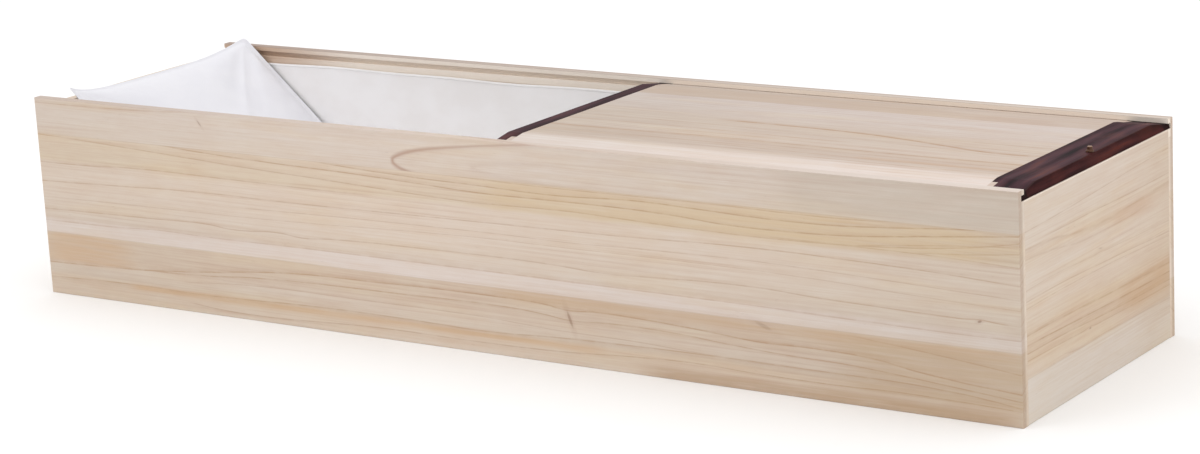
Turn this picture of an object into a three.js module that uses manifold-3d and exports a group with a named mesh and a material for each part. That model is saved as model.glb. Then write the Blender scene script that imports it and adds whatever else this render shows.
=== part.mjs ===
// A plain wooden casket. Its long sides stand higher than its ends and are grooved for a sliding
// lid, which covers the foot half. The open head half shows a fabric lining and a leaning pillow.
// Millimetres. +X runs from the head to the foot and +Z is up. The origin is on the floor, in the
// middle of the casket. Front is the long side towards -Y.

import * as THREE from "three";
import { mergeVertices } from "three/addons/utils/BufferGeometryUtils.js";
import Module from "manifold-3d";

const wasm = await Module();
wasm.setup();

// Box
const boxLength = 1950; // over the long sides, which cover the ends of the end boards
const boxWidth = 540; // over both long sides
const boxHeight = 360; // height of the long sides
const sideThickness = 18;
const endThickness = 18;
const bottomThickness = 15;
const arris = 2; // rounding of the box's outer edges
const lipArris = 1; // rounding of the inner edge above the groove

// Groove that the lid slides in
const lipHeight = 8; // wood left above the groove
const grooveHeight = 9;
const grooveDepth = 9;
const slideClearance = 0.5; // above and below the lid's edge in the groove
const sideClearance = 1; // between the lid's edge and the side boards

// Lid
const lidLength = 957.5; // over both end caps
const lidInset = 0.5; // from the foot cap's lower edge to the casket's foot end
const bevelWidth = 51; // sloping band along each long edge of the lid
const headCapWidth = 28;
const footCapWidth = 69.5; // at its underside
const footCapSlope = 6.5; // how far the foot cap's outer face leans in towards its top
const capTongueLength = 10; // how far the panel's tongue reaches into a cap
const capTongueThickness = 5;
const capTongueDrop = 3; // wood of the cap above the tongue
const capGap = 0.3; // between the panel and its caps

// Peg on the foot cap
const pegInset = 14.5; // from its axis to the foot cap's lower outer edge
const pegShankRadius = 4.5;
const pegShankLength = 8;
const pegFootRadius = 6.5;
const pegFootHeight = 2;
const pegNeckRadius = 4.3;
const pegHeight = 9; // above the cap
const pegGap = 0.3;
const pegSides = 24;

// Lining
const liningThickness = 3;
const liningGap = 0.3; // between the lining and the boards
const liningReveal = 12; // bare wood between the lining's hem and the groove

// Pillow
const pillowLength = 505; // along its slope
const pillowThickness = 98;
const pillowEdge = 10; // thickness at its seam
const pillowLean = 40; // degrees from the floor
const pillowSideGap = 6; // to the lining of each long side
const pillowHeadGap = 19; // from the middle of its upper edge to the lining of the head end
const pillowFloorGap = 0.5;
const pillowPull = 7; // how far its sides draw in between the corners
const pillowCurl = 31; // how far its two sides turn up against the walls
const pillowFullness = 4.5; // the higher, the fuller it is towards its edges
const pillowSteps = 20;

// Places worked out from the sizes above
const halfLength = boxLength / 2;
const halfWidth = boxWidth / 2;
const innerX = halfLength - endThickness;
const innerY = halfWidth - sideThickness;
const grooveTop = boxHeight - lipHeight;
const grooveFloor = grooveTop - grooveHeight;
const grooveY = innerY + grooveDepth;
const floorTop = bottomThickness + liningGap + liningThickness;
const lidFootX = halfLength - lidInset;
const lidHeadX = lidFootX - lidLength;
const panelHeadX = lidHeadX + headCapWidth;
const panelFootX = lidFootX - footCapWidth;
const lidUnderside = grooveFloor + slideClearance;
const tongueTop = boxHeight - capTongueDrop;
const tongueFloor = tongueTop - capTongueThickness;
const across = boxWidth + 2 * arris; // longer than anything that is cut to the casket's width

const paulownia = { color: 0xdac9b8, roughness: 0.6, metalness: 0 };
const rosewood = { color: 0x4b3739, roughness: 0.35, metalness: 0 };
const cloth = { color: 0xe2dede, roughness: 0.9, metalness: 0 };
const pillowCloth = { color: 0xe3e1e6, roughness: 0.95, metalness: 0 };

// Gives a closed outline through the corners [across, up, rounding].
function outline(corners) {
  const shape = new THREE.Shape();
  const point = ([x, y]) => new THREE.Vector2(x, y);
  corners.forEach((corner, i) => {
    const here = point(corner);
    const before = point(corners.at(i - 1));
    const after = point(corners[(i + 1) % corners.length]);
    const radius = corner[2] ?? 0;
    const enter = here.clone().add(before.sub(here).setLength(radius));
    const leave = here.clone().add(after.sub(here).setLength(radius));
    if (i === 0) shape.moveTo(enter.x, enter.y);
    else shape.lineTo(enter.x, enter.y);
    if (radius > 0) shape.quadraticCurveTo(here.x, here.y, leave.x, leave.y);
  });
  shape.closePath();
  return shape;
}

function prism(corners, depth) {
  return new THREE.ExtrudeGeometry(outline(corners), { depth, bevelEnabled: false, curveSegments: 4 });
}

const axisX = new THREE.Vector3(1, 0, 0);
const axisY = new THREE.Vector3(0, 1, 0);
const axisZ = new THREE.Vector3(0, 0, 1);

// A bar along X from x0 to x1, whose corners are given as [y, z].
function barAlongX(corners, x0, x1) {
  const turn = new THREE.Matrix4().makeBasis(axisY, axisZ, axisX);
  return prism(corners, x1 - x0).applyMatrix4(turn).translate(x0, 0, 0);
}

// A bar along Y, centred on the casket, whose corners are given as [x, z].
function barAlongY(corners, width) {
  const turn = new THREE.Matrix4().makeBasis(axisX, axisZ, axisY.clone().negate());
  return prism(corners, width).applyMatrix4(turn).translate(0, width / 2, 0);
}

function block(x0, x1, y0, y1, z0, z1) {
  const geometry = new THREE.BoxGeometry(x1 - x0, y1 - y0, z1 - z0);
  return geometry.translate((x0 + x1) / 2, (y0 + y1) / 2, (z0 + z1) / 2);
}

// Makes a solid that can be joined and cut out of a closed geometry.
function solidOf(geometry) {
  geometry.deleteAttribute("normal");
  geometry.deleteAttribute("uv");
  const merged = mergeVertices(geometry, 1e-4);
  const vertProperties = new Float32Array(merged.attributes.position.array);
  const triVerts = new Uint32Array(merged.index.array);
  return new wasm.Manifold(new wasm.Mesh({ numProp: 3, vertProperties, triVerts }));
}

function geometryOf(solid) {
  const mesh = solid.getMesh();
  const geometry = new THREE.BufferGeometry();
  geometry.setAttribute("position", new THREE.BufferAttribute(mesh.vertProperties, 3));
  geometry.setIndex(new THREE.BufferAttribute(mesh.triVerts, 1));
  geometry.computeVertexNormals();
  return geometry;
}

function piece(name, shape, finish) {
  const geometry = shape.isBufferGeometry ? shape : geometryOf(shape);
  const mesh = new THREE.Mesh(geometry, new THREE.MeshStandardMaterial(finish));
  mesh.name = name;
  return mesh;
}

// A long side with its groove. The side is -1 for the front board and 1 for the back board.
function sideBoard(side) {
  const section = [
    [halfWidth, 0, arris],
    [innerY, 0],
    [innerY, grooveFloor],
    [grooveY, grooveFloor],
    [grooveY, grooveTop],
    [innerY, grooveTop],
    [innerY, boxHeight, lipArris],
    [halfWidth, boxHeight, arris],
  ].map(([y, z, radius]) => [side * y, z, radius]);
  const plan = [
    [-halfLength, side * innerY],
    [halfLength, side * innerY],
    [halfLength, side * halfWidth, arris],
    [-halfLength, side * halfWidth, arris],
  ];
  const length = solidOf(barAlongX(section, -halfLength, halfLength));
  return length.intersect(solidOf(prism(plan, boxHeight)));
}

// An end board stands between the long sides and stops at the groove's floor, so the lid passes
// over it. The end is -1 for the head and 1 for the foot.
function endBoard(end) {
  const section = [
    [end * innerX, 0],
    [end * halfLength, 0, arris],
    [end * halfLength, grooveFloor, arris],
    [end * innerX, grooveFloor, lipArris],
  ];
  return barAlongY(section, 2 * innerY);
}

function bottomBoard() {
  return block(-innerX, innerX, -innerY, innerY, 0, bottomThickness);
}

// An open tray of fabric on the bottom board and up all four walls.
function lining() {
  const x = innerX - liningGap;
  const y = innerY - liningGap;
  const t = liningThickness;
  const hem = grooveFloor - liningReveal;
  const outside = solidOf(block(-x, x, -y, y, bottomThickness + liningGap, hem));
  const inside = solidOf(block(t - x, x - t, t - y, y - t, floorTop, boxHeight));
  return outside.subtract(inside);
}

// A length of the lid: flat above, bevelled along both long edges, with its edges in the grooves.
function lidLengthBetween(x0, x1) {
  const edge = grooveY - sideClearance;
  const bevelFoot = innerY - sideClearance;
  const flat = bevelFoot - bevelWidth;
  const edgeTop = grooveTop - slideClearance;
  const section = [
    [-edge, lidUnderside],
    [edge, lidUnderside],
    [edge, edgeTop],
    [bevelFoot, edgeTop],
    [flat, boxHeight],
    [-flat, boxHeight],
    [-bevelFoot, edgeTop],
    [-edge, edgeTop],
  ];
  return solidOf(barAlongX(section, x0, x1));
}

function lidPanel() {
  const board = lidLengthBetween(panelHeadX, panelFootX);
  const x0 = panelHeadX - capTongueLength;
  const x1 = panelFootX + capTongueLength;
  const tongueBand = solidOf(block(x0, x1, -across / 2, across / 2, tongueFloor, tongueTop));
  return board.add(lidLengthBetween(x0, x1).intersect(tongueBand));
}

// The slot for the panel's tongue, cut in the face of a cap that looks towards the panel.
function capSlot(faceX, intoCap) {
  const depth = intoCap * (capTongueLength + capGap);
  const x0 = Math.min(faceX - intoCap, faceX + depth);
  const x1 = Math.max(faceX - intoCap, faceX + depth);
  const z0 = tongueFloor - capGap;
  const z1 = tongueTop + capGap;
  return solidOf(block(x0, x1, -across / 2, across / 2, z0, z1));
}

function headCap() {
  return lidLengthBetween(lidHeadX, panelHeadX - capGap).subtract(capSlot(panelHeadX, -1));
}

function pegHole() {
  const radius = pegShankRadius + pegGap;
  const depth = pegShankLength + pegGap;
  const hole = new THREE.CylinderGeometry(radius, radius, 2 * depth, pegSides);
  return solidOf(hole.rotateX(Math.PI / 2).translate(lidFootX - pegInset, 0, boxHeight));
}

// The foot cap's outer face leans in, and meets the two long bevels at a hip.
function footCap() {
  const x0 = panelFootX + capGap;
  const leaningEnd = barAlongY(
    [
      [x0, lidUnderside],
      [lidFootX, lidUnderside],
      [lidFootX - footCapSlope, boxHeight],
      [x0, boxHeight],
    ],
    across,
  );
  const blank = lidLengthBetween(x0, lidFootX).intersect(solidOf(leaningEnd));
  return blank.subtract(capSlot(panelFootX, 1)).subtract(pegHole());
}

// A turned peg: a shank in the cap's hole, a foot that flares out over the cap, and a neck.
function peg() {
  const profile = [
    [0, -pegShankLength],
    [pegShankRadius, -pegShankLength],
    [pegShankRadius, pegGap],
    [pegFootRadius, pegGap],
    [pegFootRadius, pegFootHeight],
    [(pegFootRadius + pegNeckRadius) / 2, pegFootHeight + 1],
    [pegNeckRadius, pegHeight / 2],
    [pegNeckRadius, pegHeight - lipArris],
    [pegNeckRadius - lipArris, pegHeight],
    [0, pegHeight],
  ].map(([radius, z]) => new THREE.Vector2(radius, z));
  const turned = new THREE.LatheGeometry(profile, pegSides).rotateX(Math.PI / 2);
  const mesh = piece("lid_peg", solidOf(turned), rosewood);
  mesh.position.set(lidFootX - pegInset, 0, boxHeight);
  return mesh;
}

// A crowned cushion that leans on the head end. It is shaped flat, with its upper edge towards -X,
// then leaned back and pressed level where it meets the floor.
function pillow() {
  const lean = THREE.MathUtils.degToRad(pillowLean);
  const halfRun = pillowLength / 2;
  const halfSpan = innerY - liningGap - liningThickness - pillowSideGap;
  const geometry = new THREE.BoxGeometry(2, 2, 2, pillowSteps, pillowSteps, 2);
  const position = geometry.attributes.position;
  const rise = halfRun * Math.sin(lean) + pillowEdge / 2 + pillowFloorGap;
  for (let i = 0; i < position.count; i += 1) {
    const a = position.getX(i);
    const b = position.getY(i);
    const [fullX, fullY] = [a, b].map((v) => Math.max(0, 1 - Math.abs(v) ** pillowFullness));
    const crown = Math.sqrt(fullX * fullY);
    const half = (pillowEdge + (pillowThickness - pillowEdge) * crown) / 2;
    const curl = pillowCurl * (1 - ((a + 1) / 2) ** 8) * b ** 4;
    const x = a * (halfRun - pillowPull * (1 - b ** 2) * Math.abs(a));
    const y = b * (halfSpan - pillowPull * (1 - a ** 2) * Math.abs(b));
    position.setXYZ(i, x, y, position.getZ(i) * half + curl);
  }
  geometry.rotateY(lean);
  for (let i = 0; i < position.count; i += 1) {
    position.setZ(i, Math.max(position.getZ(i), pillowFloorGap - rise));
  }
  const mesh = piece("pillow", solidOf(geometry), pillowCloth);
  const headX = -innerX + liningGap + liningThickness + pillowHeadGap;
  mesh.position.set(headX + (halfRun - pillowPull) * Math.cos(lean), 0, floorTop + rise);
  return mesh;
}

const casket = new THREE.Group();
casket.add(
  piece("side_board_front", sideBoard(-1), paulownia),
  piece("side_board_back", sideBoard(1), paulownia),
  piece("end_board_head", endBoard(-1), paulownia),
  piece("end_board_foot", endBoard(1), paulownia),
  piece("bottom_board", bottomBoard(), paulownia),
  piece("lining", lining(), cloth),
  pillow(),
);

const lid = new THREE.Group();
lid.add(
  piece("lid_panel", lidPanel(), paulownia),
  piece("lid_cap_head", headCap(), rosewood),
  piece("lid_cap_foot", footCap(), rosewood),
  peg(),
);

const group = new THREE.Group();
group.add(casket, lid);

export default group;
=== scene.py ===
import math
import bmesh
import bpy
from mathutils import Matrix, Vector


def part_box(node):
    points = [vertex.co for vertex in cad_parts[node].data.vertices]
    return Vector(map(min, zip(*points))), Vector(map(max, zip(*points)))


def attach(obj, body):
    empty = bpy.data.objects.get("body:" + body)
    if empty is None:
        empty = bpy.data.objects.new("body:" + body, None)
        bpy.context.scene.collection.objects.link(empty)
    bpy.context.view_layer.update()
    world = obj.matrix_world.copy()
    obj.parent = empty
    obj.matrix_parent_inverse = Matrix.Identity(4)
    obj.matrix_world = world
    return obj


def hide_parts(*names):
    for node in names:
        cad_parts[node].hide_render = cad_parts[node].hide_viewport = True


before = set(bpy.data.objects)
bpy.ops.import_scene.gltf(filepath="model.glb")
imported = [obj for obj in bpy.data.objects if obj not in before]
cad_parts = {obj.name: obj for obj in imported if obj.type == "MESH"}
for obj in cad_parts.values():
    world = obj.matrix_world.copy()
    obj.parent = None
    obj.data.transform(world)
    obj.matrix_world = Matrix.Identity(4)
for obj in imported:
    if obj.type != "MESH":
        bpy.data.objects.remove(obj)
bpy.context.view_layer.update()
print("casket frame loaded")


# camera, as the photograph was taken
camera = {
    "place": (3.0353, -4.3136, 1.4651),
    "azimuth": 34.69,  # degrees round from straight in front of the long side
    "elevation": 14.02,
    "roll": -3.147,
    "lens": 95.98,
}


def setCamera():
    data = bpy.data.cameras.new("camera")
    data.lens = camera["lens"]
    data.sensor_width = 36
    data.clip_end = 200
    eye = bpy.data.objects.new("camera", data)
    bpy.context.collection.objects.link(eye)
    turn = Matrix.Rotation(math.radians(camera["azimuth"]), 4, "Z")
    tip = Matrix.Rotation(math.radians(90 - camera["elevation"]), 4, "X")
    roll = Matrix.Rotation(math.radians(camera["roll"]), 4, "Z")
    eye.matrix_world = Matrix.Translation(camera["place"]) @ turn @ tip @ roll
    bpy.context.scene.camera = eye


setCamera()


# small helpers for materials
def tone(red, green, blue):
    # a colour given as 0 to 255, as a picture program shows it
    parts = [v / 255 for v in (red, green, blue)]
    return (*[v / 12.92 if v <= 0.04045 else ((v + 0.055) / 1.055) ** 2.4 for v in parts], 1)


def newMaterial(name, roughness):
    material = bpy.data.materials.new(name)
    material.use_nodes = True
    tree = material.node_tree
    shader = tree.nodes["Principled BSDF"]
    shader.inputs["Roughness"].default_value = roughness
    return material, tree, shader


def plug(tree, socket, value):
    if isinstance(value, bpy.types.NodeSocket):
        tree.links.new(value, socket)
    else:
        socket.default_value = value


def calc(tree, operation, first, second=0.0, third=0.0):
    node = tree.nodes.new("ShaderNodeMath")
    node.operation = operation
    for socket, value in zip(node.inputs, (first, second, third)):
        plug(tree, socket, value)
    return node.outputs[0]


def product(tree, *values):
    result = values[0]
    for value in values[1:]:
        result = calc(tree, "MULTIPLY", result, value)
    return result


def centred(tree, noise):
    return calc(tree, "SUBTRACT", noise, 0.5)


def squareSum(tree, first, second):
    return calc(tree, "MULTIPLY_ADD", first, first, calc(tree, "MULTIPLY", second, second))


def spread(tree, value, low, high, outLow=0.0, outHigh=1.0):
    # a soft step, from outLow at low to outHigh at high
    node = tree.nodes.new("ShaderNodeMapRange")
    node.interpolation_type = "SMOOTHSTEP"
    for socket, given in zip(node.inputs, (value, low, high, outLow, outHigh)):
        plug(tree, socket, given)
    return node.outputs[0]


def blendTones(tree, amount, first, second, mode="MIX"):
    node = tree.nodes.new("ShaderNodeMix")
    node.data_type = "RGBA"
    node.blend_type = mode
    plug(tree, node.inputs["Factor"], amount)
    plug(tree, node.inputs[6], first)  # the node's two colours
    plug(tree, node.inputs[7], second)
    return node.outputs[2]


def toneRamp(tree, value, stops, easing="LINEAR"):
    node = tree.nodes.new("ShaderNodeValToRGB")
    node.color_ramp.interpolation = easing
    parts = node.color_ramp.elements
    while len(parts) < len(stops):
        parts.new(0.5)
    for part, (place, colour) in zip(parts, stops):
        part.position = place
        part.color = colour
    plug(tree, node.inputs["Fac"], value)
    return node.outputs["Color"]


def veil(tree, amount, colour, noise, greys):
    # lightens and darkens a colour by a noise
    stops = [(place, (*grey, 1)) for place, grey in greys]
    return blendTones(tree, amount, colour, toneRamp(tree, noise, stops), "OVERLAY")


def wander(tree, value, points):
    # a curve through given points from 0 to 1
    node = tree.nodes.new("ShaderNodeFloatCurve")
    line = node.mapping.curves[0]
    while len(line.points) < len(points):
        line.points.new(0.5, 0.5)
    for point, (x, y) in zip(line.points, points):
        point.location = (x, y)
        point.handle_type = "AUTO"
    node.mapping.use_clip = False
    node.mapping.extend = "HORIZONTAL"
    node.mapping.update()
    plug(tree, node.inputs["Value"], value)
    return node.outputs[0]


def cloud(tree, place, sizes, detail=3.0, rough=0.5, shift=(0, 0, 0), twist=0.0):
    # noise whose lumps are about as large as sizes, in millimetres
    scale = tree.nodes.new("ShaderNodeMapping")
    scale.inputs["Location"].default_value = shift
    scale.inputs["Scale"].default_value = [1 / size for size in sizes]
    plug(tree, scale.inputs["Vector"], place)
    node = tree.nodes.new("ShaderNodeTexNoise")
    node.inputs["Scale"].default_value = 1.0
    node.inputs["Detail"].default_value = detail
    node.inputs["Roughness"].default_value = rough
    node.inputs["Distortion"].default_value = twist
    plug(tree, node.inputs["Vector"], scale.outputs["Vector"])
    return node.outputs["Fac"]


def millimetres(tree, mirror=(1, 1, 1), turn=(0, 0, 0), corner=(0, 0, 0)):
    # the place in millimetres; on a board, along the grain, into the wood and across the face
    coordinates = tree.nodes.new("ShaderNodeTexCoord")
    scale = tree.nodes.new("ShaderNodeMapping")
    scale.inputs["Scale"].default_value = [1000 * sign for sign in mirror]
    scale.inputs["Rotation"].default_value = [math.radians(a) for a in turn]
    scale.inputs["Location"].default_value = corner
    tree.links.new(coordinates.outputs["Object"], scale.inputs["Vector"])
    split = tree.nodes.new("ShaderNodeSeparateXYZ")
    tree.links.new(scale.outputs["Vector"], split.inputs["Vector"])
    return (scale.outputs["Vector"], *split.outputs)


def reliefFrom(tree, shader, height, depth, strength):
    bump = tree.nodes.new("ShaderNodeBump")
    bump.inputs["Distance"].default_value = depth
    bump.inputs["Strength"].default_value = strength
    plug(tree, bump.inputs["Height"], height)
    tree.links.new(bump.outputs["Normal"], shader.inputs["Normal"])


# pale paulownia
paleWood = {
    "latewood": tone(170, 128, 90),
    "gold": tone(216, 191, 151),
    "redBrown": tone(172, 134, 114),
    "pore": tone(132, 98, 72),
    "poreStrength": 0.4,
    "endGrain": tone(176, 146, 122),
    "endLight": tone(238, 221, 203),
    "endStrength": 0.4,
    "endLightFrom": (7.0, 15.0),  # mm into the board, where its end grain turns from dark to light
    "seamWidth": 0.9,  # mm
    "seamStrength": 0.12,
    "mottle": 0.24,
    "roughness": (0.62, 0.5),  # between the fibres and on them
    "reliefDepth": 0.0003,
    "reliefStrength": 0.5,
    "lumps": {  # sizes of its noises in mm: along the grain, into the wood and across the face
        "slow": (420, 400, 60), "quick": (70, 60, 20), "ringPatch": (500, 300, 45), "warm": (300, 80, 34),
        "fibre": (260, 3.6, 3.0), "mottle": (90, 30, 22), "figure": (34, 12, 3.4), "ticks": (14, 2.0, 1.0),
        "porePatch": (160, 60, 20), "ragged": (150, 60, 9), "broken": (40, 40, 14), "shake": (60, 60, 12),
    },
    "veils": {  # greys that lighten and darken it, from the low to the high places of each noise
        "fibre": [(0.3, (0.36, 0.33, 0.31)), (0.5, (0.5, 0.5, 0.5)), (0.72, (0.6, 0.61, 0.62))],
        "mottle": [(0.3, (0.43, 0.40, 0.38)), (0.7, (0.57, 0.59, 0.6))],
        "figure": [(0.32, (0.40, 0.38, 0.36)), (0.68, (0.58, 0.59, 0.6))],
    },
}
plainBoard = {  # what a board has where it says nothing else
    "sway": 4.0,  # mm that its rings wander slowly
    "ripple": 0.7,  # mm that they wander quickly
    "ringTilt": 0.8,
    "ringGap": 11.0,
    "ringStrength": 0.16,
    "warmth": 0.2,
    "fibre": 0.3,
    "figure": 0.14,
    "joints": [], "edgeShadingAndTone": [], "lines": [], "arches": [], "knots": [], "stains": [],
}
grain = {  # the strong lines
    "width": 1.25,  # on top of each line's own width and strength
    "strength": 0.8,
    "core": 0.2,  # mm that are fully dark
    "fadeOut": 5,  # mm past a line's end where nothing is left of it
    "fadeIn": 60,  # mm before its end where it's whole
}
plainLine = {
    "width": 1.4,
    "strength": 0.6,
    "glow": -9.0,  # mm of soft flank that fades away on one side of the line
    "flank": 0.3,
}
archShape = {
    "shakeAlong": 4.0,  # mm
    "shakeAcross": 1.6,
    "reach": 22,  # how far its dark tip runs back, in widths of its flank
    "arm": 3.6,  # mm
    "armTone": 0.7,
    "flank": 0.36,
}
knotLook = {
    "edge": 1.6,
    "haloSize": 2.4,
    "haloTone": 0.35,
}


def grainLine(tree, spot, size, given):
    # one dark latewood line that follows listed points (along, across) in mm
    line = {**plainLine, **given}
    long, wide = size
    along, down = spot["along"], spot["down"]
    points = [(a / long, d / wide) for a, d in line["points"]]
    way = calc(tree, "MULTIPLY", wander(tree, calc(tree, "DIVIDE", along, long), points), wide)
    off = calc(tree, "SUBTRACT", spot["level"], way)
    core = spread(tree, calc(tree, "ABSOLUTE", off), line["width"] * grain["width"], grain["core"])
    onSide = calc(tree, "LESS_THAN" if line["glow"] < 0 else "GREATER_THAN", off, 0.0)
    flank = product(tree, spread(tree, off, line["glow"], 0.0), onSide, line["flank"])
    ink = calc(tree, "MAXIMUM", core, flank)
    first, last = line["points"][0][0], line["points"][-1][0]
    if first > 0:
        ink = product(tree, ink, spread(tree, along, first - grain["fadeOut"], first + grain["fadeIn"]))
    if last < long:
        ink = product(tree, ink, spread(tree, along, last + grain["fadeOut"], last - grain["fadeIn"]))
    if "between" in line:
        top, low = line["between"]
        ink = product(tree, ink, calc(tree, "GREATER_THAN", down, top), calc(tree, "LESS_THAN", down, low))
    return product(tree, ink, line["strength"] * grain["strength"])


def archLine(tree, spot, arch):
    # the pointed arch where a growth ring just grazes the face
    shake = centred(tree, cloud(tree, spot["where"], paleWood["lumps"]["shake"], 2))
    reach = calc(tree, "SUBTRACT", spot["along"], arch["tip"][0])
    reach = calc(tree, "MULTIPLY_ADD", shake, archShape["shakeAlong"], reach)
    rise = calc(tree, "SUBTRACT", spot["level"], arch["tip"][1])
    rise = calc(tree, "MULTIPLY_ADD", shake, archShape["shakeAcross"], rise)
    gap = calc(tree, "SUBTRACT", reach, product(tree, rise, rise, arch["bend"]))
    slope = calc(tree, "MULTIPLY", rise, 2 * arch["bend"])
    off = calc(tree, "DIVIDE", gap, calc(tree, "SQRT", calc(tree, "MULTIPLY_ADD", slope, slope, 1.0)))
    near = spread(tree, reach, arch["fade"] * archShape["reach"], 0.0)  # thick and dark at the tip
    width = calc(tree, "MULTIPLY_ADD", near, arch["width"], archShape["arm"])
    core = spread(tree, calc(tree, "ABSOLUTE", off), width, 0.0)
    inside = calc(tree, "GREATER_THAN", off, 0.0)
    flank = product(tree, spread(tree, off, arch["fade"], 0.0), inside, archShape["flank"])
    ink = calc(tree, "MAXIMUM", core, flank)
    dark = calc(tree, "MULTIPLY_ADD", near, 1 - archShape["armTone"], archShape["armTone"])
    onBoard = calc(tree, "LESS_THAN", spot["down"], arch["limit"])
    return product(tree, ink, dark, arch["strength"], onBoard)


def knotPull(tree, spot, knot):
    # bends the grain round a knot
    dx = calc(tree, "DIVIDE", calc(tree, "SUBTRACT", spot["along"], knot["at"][0]), knot["reach"][0])
    dz = calc(tree, "DIVIDE", calc(tree, "SUBTRACT", spot["down"], knot["at"][1]), knot["reach"][1])
    near = calc(tree, "EXPONENT", product(tree, squareSum(tree, dx, dz), -1.0))
    return product(tree, near, knot["pull"])


def knotSpot(tree, spot, knot):
    # the dark heart of a knot, a short slanting stroke
    lean = math.radians(knot["lean"])
    dx = calc(tree, "SUBTRACT", spot["along"], knot["at"][0])
    dz = calc(tree, "SUBTRACT", spot["down"], knot["at"][1])
    run = calc(tree, "MULTIPLY_ADD", dx, math.cos(lean), product(tree, dz, math.sin(lean)))
    side = calc(tree, "MULTIPLY_ADD", dz, math.cos(lean), product(tree, dx, -math.sin(lean)))
    run = calc(tree, "DIVIDE", run, knot["heart"][0])
    side = calc(tree, "DIVIDE", side, knot["heart"][1])
    return product(tree, spread(tree, squareSum(tree, run, side), knotLook["edge"], 0.0), knot["strength"])


def ringLevel(tree, spot, board):
    # growth rings wander a little, run on into the thickness and bend round knots
    lumps, seed = paleWood["lumps"], board["seed"]
    slow = centred(tree, cloud(tree, spot["where"], lumps["slow"], 2, shift=(seed, 0, 0)))
    quick = centred(tree, cloud(tree, spot["where"], lumps["quick"], 2, shift=(0, seed, 0)))
    level = calc(tree, "MULTIPLY_ADD", slow, board["sway"], spot["down"])
    level = calc(tree, "MULTIPLY_ADD", quick, board["ripple"], level)
    level = calc(tree, "MULTIPLY_ADD", spot["deep"], board["ringTilt"], level)
    for knot in board["knots"]:
        level = calc(tree, "ADD", level, knotPull(tree, spot, knot))
    return level


def boardTone(tree, spot, board):
    # the tone of each glued board, from one edge of the face to the other
    lumps, seed = paleWood["lumps"], board["seed"]
    long, wide = board["size"]
    tones = [(place / wide, tone(*colour)) for place, colour in board["tones"]]
    colour = toneRamp(tree, calc(tree, "DIVIDE", spot["down"], wide), tones)

    # the boards turn darker towards some of their ends; on the front board, towards its foot end, this is
    # painted shade
    if "drift" in board:
        gains = [(place, (*gain, 1)) for place, gain in board["drift"]]
        drift = toneRamp(tree, calc(tree, "DIVIDE", spot["along"], long), gains, "EASE")
        colour = blendTones(tree, 1.0, colour, drift, "MULTIPLY")

    # patches of faint growth rings between the strong lines
    rings = calc(tree, "FRACT", calc(tree, "DIVIDE", spot["level"], board["ringGap"]))
    patch = spread(tree, cloud(tree, spot["where"], lumps["ringPatch"], 2, shift=(3, seed, 0)), 0.42, 0.68)
    ring = product(tree, calc(tree, "POWER", rings, 3.0), board["ringStrength"], patch)
    colour = blendTones(tree, ring, colour, paleWood["latewood"])

    warm = spread(tree, cloud(tree, spot["where"], lumps["warm"], 3, shift=(seed, 5, 0)), 0.45, 0.75)
    return blendTones(tree, product(tree, warm, board["warmth"]), colour, paleWood["gold"])


def addPatches(tree, spot, board, colour):
    # stained patches, such as a golden stripe with its own ends
    along, level = spot["along"], spot["level"]
    for stain in board["stains"]:
        left, right, top, low = stain["area"]
        soft = stain.get("soft", 8)
        endSoft = 6 * soft  # its ends are softer than its long edges
        noise = cloud(tree, spot["where"], paleWood["lumps"]["ragged"], 3, shift=(board["seed"], 7, 7))
        inside = product(
            tree, spread(tree, along, left - endSoft, left + endSoft),
            spread(tree, along, right + endSoft, right - endSoft),
            spread(tree, level, top - soft, top + soft), spread(tree, level, low + soft, low - soft),
            spread(tree, noise, 0.3, 0.6, 0.45, 1.0), stain["strength"])
        colour = blendTones(tree, inside, colour, tone(*stain["colour"]))
    return colour


def addLines(tree, spot, board, colour):
    ink = 0.0
    for line in board["lines"]:
        ink = calc(tree, "MAXIMUM", ink, grainLine(tree, spot, board["size"], line))
    noise = cloud(tree, spot["where"], paleWood["lumps"]["broken"], 4, 0.6, shift=(2, 2, board["seed"]))
    ink = product(tree, ink, spread(tree, noise, 0.34, 0.6, 0.4, 1.0))
    colour = blendTones(tree, ink, colour, paleWood["latewood"])
    for arch in board["arches"]:
        colour = blendTones(tree, archLine(tree, spot, arch), colour, paleWood["redBrown"])
    for knot in board["knots"]:
        size = [knotLook["haloSize"] * part for part in knot["heart"]]
        halo = dict(knot, heart=size, strength=knotLook["haloTone"] * knot["strength"])
        colour = blendTones(tree, knotSpot(tree, spot, halo), colour, paleWood["redBrown"])
        colour = blendTones(tree, knotSpot(tree, spot, knot), colour, paleWood["pore"])
    return colour


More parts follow.
